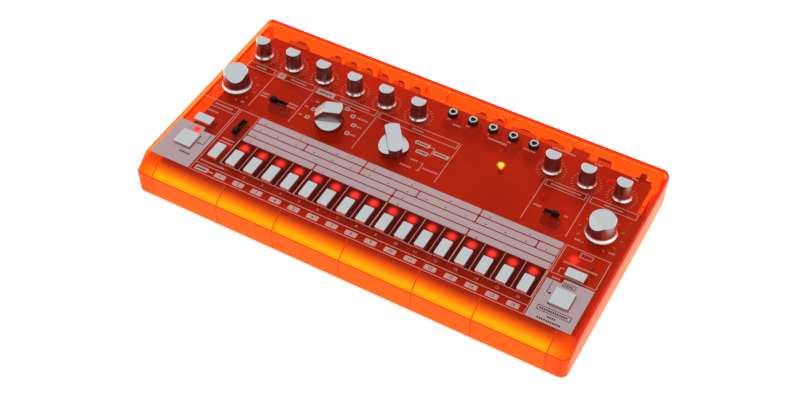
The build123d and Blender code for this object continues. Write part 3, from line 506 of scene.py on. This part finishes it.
def add_dashes(shape, left, right, v):
    """A row of even dashes, as many as fit between two ends."""
    count = int((right - left + DASH_GAP) / (DASH + DASH_GAP))
    for i in range(count):
        x = left + i * (DASH + DASH_GAP)
        add_field(shape, x, x + DASH, v - DASH_HEIGHT / 2, v + DASH_HEIGHT / 2)


def add_numeral(shape, number, x, v, size):
    """A plain number, centred on a point."""
    curve = bpy.data.curves.new("numeral", "FONT")
    curve.body = str(number)
    curve.size = size
    curve.align_x = "CENTER"
    curve.align_y = "CENTER"
    holder = bpy.data.objects.new("numeral", curve)
    bpy.context.scene.collection.objects.link(holder)
    bpy.context.view_layer.update()
    mesh = bpy.data.meshes.new_from_object(holder)
    mesh.transform(Matrix.Translation((x, v, 0)))
    shape.from_mesh(mesh)
    bpy.data.objects.remove(holder)
    bpy.data.curves.remove(curve)
    bpy.data.meshes.remove(mesh)


def add_ticks(shape, x, v, count, inner, outer, width):
    """Even ticks round a knob, from its lower stop to its upper one."""
    for i in range(count):
        angle = SCALE_START - SCALE_TURN * i / (count - 1)
        add_field(shape, inner, outer, -width / 2, width / 2, turn=angle, about=(x, v))


def middle_of(name):
    """Middle of a CAD node in the panel's frame, in millimetres."""
    low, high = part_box(name)
    return PANEL.inverted() @ ((Vector(low) + Vector(high)) / 2 / MM)


# ---- Printing on the panel ----
step_x = [middle_of(f"step_button_{i + 1:02d}").x for i in range(STEP_COUNT)]
step_pitch = step_x[1] - step_x[0]


def panel_lines():
    """Thin lines that divide the panel into fields."""
    shape = bmesh.new()
    for i in range(STEP_COUNT + 1):
        x = step_x[0] + (i - 0.5) * step_pitch
        add_line(shape, x, KEY_FRONT, x, KEY_BACK, 1.6 * LINE if i % 4 == 0 else 0.8 * LINE)
    for v in (6.6, -0.4):
        add_line(shape, -117.7, v, CHART_RIGHT, v)
    for x in (-119.3, -117.7, 118.2):
        add_line(shape, x, -0.6, x, 60.4)
    for x in (-116.4, -85.2, -36.3, 24.6, 85.2, 115.9):
        add_line(shape, x, COLUMN_FRONT, x, HEAD_BACK)
    heads = [
        (-139.3, -118.1), (-115.2, -86.4), (-84.0, -37.8), (-35.1, 23.3), (86.5, 114.3), (117.4, 149.0)]
    for left, right in heads:
        add_frame(shape, left, right, HEAD_FRONT, HEAD_BACK)
    add_frame(shape, 119.3, 148.7, 36.2, 60.4)
    add_frame(shape, 129.8, 138.1, 54.9, 58.8)
    lines = [
        # round the step buttons
        (-103.3, KEY_FRONT, CHART_RIGHT, KEY_FRONT), (-103.3, KEY_BACK, -103.3, 60.4),
        # over the left and right groups
        (-147.8, 60.2, -103.3, 60.2), (-139.0, 54.2, -120.0, 54.2),
        (123.5, 37.8, 123.5, 42.0), (123.5, 42.0, 126.0, 42.0),
        # brackets beside the mode selector
        (8.0, 91.7, 11.3, 91.7), (10.0, 84.8, 11.3, 84.8), (11.3, 84.6, 11.3, 91.9),
        (9.0, 76.5, 10.8, 76.5), (9.0, 69.5, 10.8, 69.5), (10.8, 69.3, 10.8, 76.7),
    ]
    for line in lines:
        add_line(shape, *line)
    film("panel_lines", shape, line_ink)


def panel_legends():
    """Step numbers, and even dashes in the places of the small legends."""
    shape = bmesh.new()
    for i, x in enumerate(step_x):
        add_numeral(shape, i + 1, x - 0.2, NUMBER_ROW, 2.9)
    rows = [
        # heads of the columns
        (-133.0, -124.0, HEAD_ROW), (-105.0, -92.0, HEAD_ROW), (-65.5, -42.5, HEAD_ROW),
        (-10.5, -2.5, HEAD_ROW), (90.0, 111.0, HEAD_ROW), (127.0, 140.0, HEAD_ROW),
        # beside the slide switches
        (-115.0, -108.6, 81.4), (-115.0, -108.6, 78.6), (-93.8, -87.0, 81.4), (-93.8, -87.0, 78.6),
        (87.3, 92.6, 80.6), (108.4, 112.0, 80.6), (-115.0, -105.5, 32.6), (-115.0, -105.5, 29.8),
        # round the instrument selector
        (-83.2, -80.0, 84.5), (-83.2, -80.0, 76.2), (-79.0, -75.5, 91.6), (-70.5, -66.0, 95.8),
        (-55.0, -50.8, 95.8), (-47.0, -38.8, 91.6), (-43.5, -38.8, 84.5), (-43.5, -39.5, 76.2),
        # beside the mode selector
        (1.5, 7.8, 76.5), (-2.4, 6.2, 69.5), (12.4, 23.4, 73.0),
        # at the buttons on the left and on the right
        (-137.0, -123.0, 57.2), (-138.0, -129.5, 50.0), (-116.0, -97.0, NUMBER_ROW),
        (122.8, 145.3, 47.4), (121.5, 127.5, 33.2),
        # in front of the jacks
        (5.5, 8.0, 121.0), (19.5, 23.0, 121.0), (35.3, 37.6, 121.0), (49.8, 52.2, 121.0),
        (61.6, 70.3, 121.0), (11.2, 17.2, 117.9), (37.0, 50.8, 117.9),
        # behind the knobs on the right, and at the ends of the large scales
        (77.5, 94.0, 131.2), (107.5, 114.0, 131.2), (133.5, 138.0, 131.2),
        (121.5, 126.5, 67.0), (144.0, 148.0, 67.0), (-123.0, -119.5, 67.0),
    ]
    for left, right, v in rows:
        add_dashes(shape, left, right, v)
    film("panel_legends", shape, legend_ink)


def knob_scales():
    """Ticks round the knobs that have no fixed positions, over the same turn as the knobs."""
    shape = bmesh.new()
    for name in nodes:
        if not name.endswith("_knob") or "selector" in name:
            continue
        x = middle_of(name).x
        if name in ("tempo_knob", "volume_knob"):
            add_ticks(shape, x, TEMPO_BACK, 11, 13.0, 14.8, LINE)
        else:
            add_ticks(shape, x, SMALL_BACK, 21, 8.6, 10.2, 0.8 * LINE)
    film("knob_scales", shape, legend_ink)


def panel_fields():
    """Pale printed fields: the beat chart and the patches round the square buttons."""
    shape = bmesh.new()
    rows = [                 # front, back and where the row is split
        (55.4, 60.6, (-21.0, 62.0)),
        (49.0, 54.4, (-62.6, -21.0, 20.4, 62.0, 103.3)),
        (42.9, 48.1, (6.8,)),
        (36.9, 42.0, (-48.6, 6.8, 62.0)),
    ]
    for front, back, splits in rows:
        edges = [CHART_LEFT, *splits, CHART_RIGHT]
        for left, right in zip(edges, edges[1:]):
            add_field(shape, left + CHART_GAP / 2, right - CHART_GAP / 2, front, back, corner=0.9)
    patches = [(-CORNER_X, (-148.9, -119.3, -0.4, 31.3)), (CORNER_X, (119.2, 148.6, -0.4, 31.2))]
    for x, patch in patches:
        hole = (x - SQUARE_HOLE, x + SQUARE_HOLE, STEP_BACK - SQUARE_HOLE, STEP_BACK + SQUARE_HOLE)
        add_around(shape, *patch, hole)
    add_field(shape, -148.9, -129.3, 31.3, 34.6)
    add_field(shape, 129.0, 148.6, 31.2, 34.9)
    film("panel_fields", shape, field_ink)


def panel_tags():
    """Small filled tags, rounded at their corners."""
    shape = bmesh.new()
    for x in step_x:
        add_field(shape, x - 4.1, x + 3.9, 1.0, 4.8, corner=0.7)
    add_field(shape, -115.6, -106.0, 1.0, 4.8, corner=0.7)
    add_line(shape, -106.0, TAG_ROW, -102.0, TAG_ROW, 0.7)
    add_field(shape, -115.0, -109.4, 98.9, 103.6, corner=1.0)
    add_field(shape, -83.6, -70.4, 98.9, 103.6, corner=0.5)
    for x, v in INSTRUMENT_TAGS:
        add_field(shape, x - 1.6, x + 1.6, v - 1.6, v + 1.6, corner=0.6)
    mode_tags = [(-2.9, 7.8, 90.1, 93.3), (1.2, 9.8, 83.1, 86.4), (12.1, 23.3, 86.8, 90.1)]
    for left, right, front, back in mode_tags:
        add_field(shape, left, right, front, back, corner=0.6)
    film("panel_tags", shape, tag_ink)


def dark_marks():
    """Dark marks over the pale fields: beat dots, numbers and dashes in the tags, and guide lines."""
    shape = bmesh.new()
    dots = [(1, 50.0), (2, 56.2), (4, 37.6), (8, 43.7)]  # every how many steps, and how far back
    for i, x in enumerate(step_x):
        add_numeral(shape, i + 1, x - 0.1, TAG_ROW, 3.0)
        for every, front in dots:
            if i % every == 0:
                add_field(shape, x - 0.6, x + 0.2, front, front + 0.8)
    for x, v in INSTRUMENT_TAGS:
        add_field(shape, x - 0.6, x + 0.6, v - 0.6, v + 0.6)
    add_numeral(shape, 0, -112.2, 101.2, 3.8)
    guides = [
        (-122.0, 31.0, -122.0, 20.8), (-122.0, 20.8, -125.6, 20.8),
        (123.5, 30.8, 123.5, 21.2), (123.5, 21.2, 126.0, 21.2),
    ]
    for guide in guides:
        add_line(shape, *guide)
    add_field(shape, -126.4, -125.2, 20.1, 21.5)
    add_field(shape, 125.0, 126.2, 20.5, 21.9)
    add_frame(shape, 129.8, 138.0, 29.5, 32.8)
    add_frame(shape, 123.1, 144.8, 7.0, 10.9)
    rows = [
        # in the tags
        (-82.0, -72.0, 101.3), (-1.8, 6.8, 91.7), (2.2, 8.8, 84.8), (13.2, 22.4, 88.5),
        (-114.4, -107.2, TAG_ROW),
        # on the patches
        (131.0, 137.0, 31.1), (124.6, 143.4, 8.9), (131.4, 136.6, 4.7), (126.0, 141.8, 1.8),
        (-132.8, -124.2, 9.5),
    ]
    for left, right, v in rows:
        add_dashes(shape, left, right, v)
    film("dark_marks", shape, dark_ink, layer=1)


def key_surrounds():
    """Dark film of painted shade on the panel round the step buttons."""
    shape = bmesh.new()
    half = step_pitch / 2 - 0.5
    for x in step_x:
        hole = (x - STEP_HOLE[0], x + STEP_HOLE[0], STEP_BACK - STEP_HOLE[1], STEP_BACK + STEP_HOLE[1])
        add_around(shape, x - half, x + half, KEY_FRONT + 0.4, KEY_BACK - 0.2, hole)
    film("key_surrounds", shape, painted_key_shade_ink)


def slot_rings(outward, inward):
    """Rings of painted shade along the slots of the slide switches, which stick out of the slot and into it."""
    shape = bmesh.new()
    for x, v, half_length, half_width in SLOTS.values():
        length, width = half_length - inward, half_width - inward
        hole = (x - length, x + length, v - width, v + width)
        length, width = half_length + outward, half_width + outward
        add_around(shape, x - length, x + length, v - width, v + width, hole)
    return shape


def lamp_window(name, places, radius, material):
    """Round discs of painted lamp glow over the lamps. Their glow is 1 in the middle and 0 at the rim."""
    shape = bmesh.new()
    glow = shape.verts.layers.float.new("glow")
    for x, v in places:
        middle = Vector((x, v, 0))
        made = bmesh.ops.create_circle(shape, cap_ends=True, cap_tris=True, segments=32, radius=radius,
                                       matrix=Matrix.Translation(middle))
        for vert in made["verts"]:
            vert[glow] = 1.0 if (vert.co - middle).length < radius / 2 else 0.0
    film(name, shape, material, layer=2)


panel_lines()
panel_legends()
knob_scales()
panel_fields()
panel_tags()
dark_marks()
key_surrounds()
lamp_window("red_lamp_glows", [(x - 0.2, LAMP_BACK) for x in step_x] + GROUP_LAMPS, 6.0, red_painted_glow)
lamp_window("power_lamp_glow", [POWER_LAMP], 3.8, yellow_painted_glow)
# Painted shade: a black ring round each slot, and black walls down inside it.
film("slot_shade_frames", slot_rings(0.7, 0.0), slot_shade_ink)
film("slot_shade_linings", slot_rings(0.0, 0.15), black_plastic, thickness=SLOT_DEPTH, height=-SLOT_DEPTH)


# ---- Room ----
def table():
    """Pale table, which the camera and glossy surfaces see as nearly white, with the shadow on it."""
    shape = bmesh.new()
    bmesh.ops.create_grid(shape, x_segments=1, y_segments=1, size=20.0)
    mesh = bpy.data.meshes.new("floor")
    shape.to_mesh(mesh)
    shape.free()
    floor = bpy.data.objects.new("floor", mesh)
    bpy.context.scene.collection.objects.link(floor)
    made, tree, _ = new_material("pale_table")
    skin = node(tree, "BsdfPrincipled", {
        "Base Color": linear("#DADADA"), "Roughness": 0.12, "Specular IOR Level": 0.3})
    rays = node(tree, "LightPath").outputs
    shown = joined(tree, "MAXIMUM", rays["Is Camera Ray"], rays["Is Glossy Ray"])
    shine = node(tree, "Emission", {"Color": linear("#FFFFFF"), "Strength": 0.75})
    lifted = node(tree, "AddShader", {0: skin, 1: shine})
    node(tree, "OutputMaterial", {"Surface": node(tree, "MixShader", {0: shown, 1: skin, 2: lifted})})
    mesh.materials.append(made)


def studio():
    """Soft light from all round, a white background, and a tent that is greyer overhead for whatever
    mirrors it."""
    world = bpy.data.worlds.new("studio")
    bpy.context.scene.world = world
    world.use_nodes = True
    tree = world.node_tree
    tree.nodes.clear()
    rays = node(tree, "LightPath").outputs
    soft = node(tree, "Background", {"Color": linear("#FFFFFF"), "Strength": 0.6})
    white = node(tree, "Background", {"Color": linear("#FFFFFF"), "Strength": 1.0})
    height = node(tree, "SeparateXYZ", {"Vector": node(tree, "TexCoord").outputs["Generated"]}).outputs["Z"]
    tent = node(tree, "ValToRGB", {"Fac": height}, stops=[(0.1, "#FFFFFF"), (0.45, "#D4D6D8")])
    mirrored = node(tree, "Background", {"Color": tent, "Strength": 1.0})
    unseen = node(tree, "MixShader", {0: rays["Is Glossy Ray"], 1: soft, 2: mirrored})
    surface = node(tree, "MixShader", {0: rays["Is Camera Ray"], 1: unseen, 2: white})
    node(tree, "OutputWorld", {"Surface": surface})


def softbox(name, place, width, power):
    """Square softbox that points at the middle of the table and is not mirrored. Its lengths are
    metres and its power is watts."""
    lamp = bpy.data.lights.new(name, "AREA")
    lamp.shape = "RECTANGLE"
    lamp.size = width
    lamp.size_y = width
    lamp.energy = power
    made = bpy.data.objects.new(name, lamp)
    made.location = place
    made.rotation_euler = (-Vector(place)).to_track_quat("-Z", "Y").to_euler()
    made.visible_glossy = False
    bpy.context.scene.collection.objects.link(made)


table()
studio()
softbox("overhead_softbox", (-0.3, 0.5, 1.5), 1.6, 12.0)

camera = bpy.data.cameras.new("camera")
camera.sensor_width = SENSOR
camera.lens = SENSOR * LENS_SHARE
camera.clip_start = NEAR_CLIP * MM
eye = bpy.data.objects.new("camera", camera)
eye.location = Vector(CAMERA_PLACE) * MM
eye.rotation_euler = [math.radians(angle) for angle in CAMERA_TURN]
bpy.context.scene.collection.objects.link(eye)
bpy.context.scene.camera = eye

bpy.context.scene.view_settings.view_transform = "Standard"
